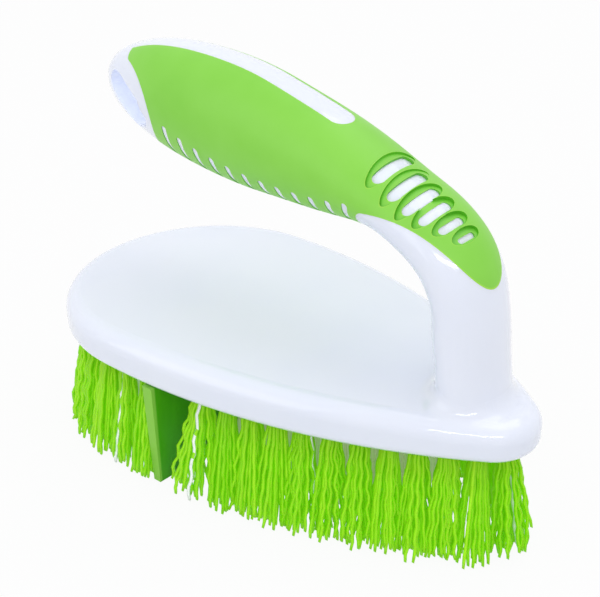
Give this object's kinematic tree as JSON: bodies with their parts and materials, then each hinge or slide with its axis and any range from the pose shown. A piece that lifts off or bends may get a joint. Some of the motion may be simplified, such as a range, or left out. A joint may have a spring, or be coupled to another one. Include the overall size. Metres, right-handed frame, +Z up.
{
  "type": "scrub brush",
  "caption": "Hand scrub brush: egg-shaped white head with a looped handle and soft green grip, green and white bristle tufts below and a scraper blade across the head.",
  "frame": {"origin": "under the middle of the head, on the plane of the bristle tips", "axes": "+X along the head towards the heel where the handle rises, +Z up from the bristle tips"},
  "size_m": [0.15, 0.0812, 0.1113],
  "materials": {
    "white_plastic": "gloss",
    "soft_green": "satin",
    "green_plastic": "gloss",
    "plate_plastic": "satin",
    "green_bristle": "satin",
    "white_bristle": "satin",
    "steel": "brushed"
  },
  "bodies": {
    "root": {"handle_body": "white_plastic", "soft_grip": "soft_green", "tuft_plate": "plate_plastic", "scraper_blade": "green_plastic", "plate_screws": "steel", "green_tufts_front": "green_bristle", "green_tufts_left": "green_bristle", "green_tufts_right": "green_bristle", "green_tufts_heel": "green_bristle", "white_tuft_row_1": "white_bristle", "white_tuft_row_2": "white_bristle", "white_tuft_row_3": "white_bristle", "white_tuft_row_4": "white_bristle", "white_tuft_row_5": "white_bristle", "white_tuft_row_6": "white_bristle", "white_tuft_row_7": "white_bristle", "white_tuft_row_8": "white_bristle", "white_tuft_row_9": "white_bristle", "white_tuft_row_10": "white_bristle", "tuft_anchors": "steel"}
  },
  "joints": []
}
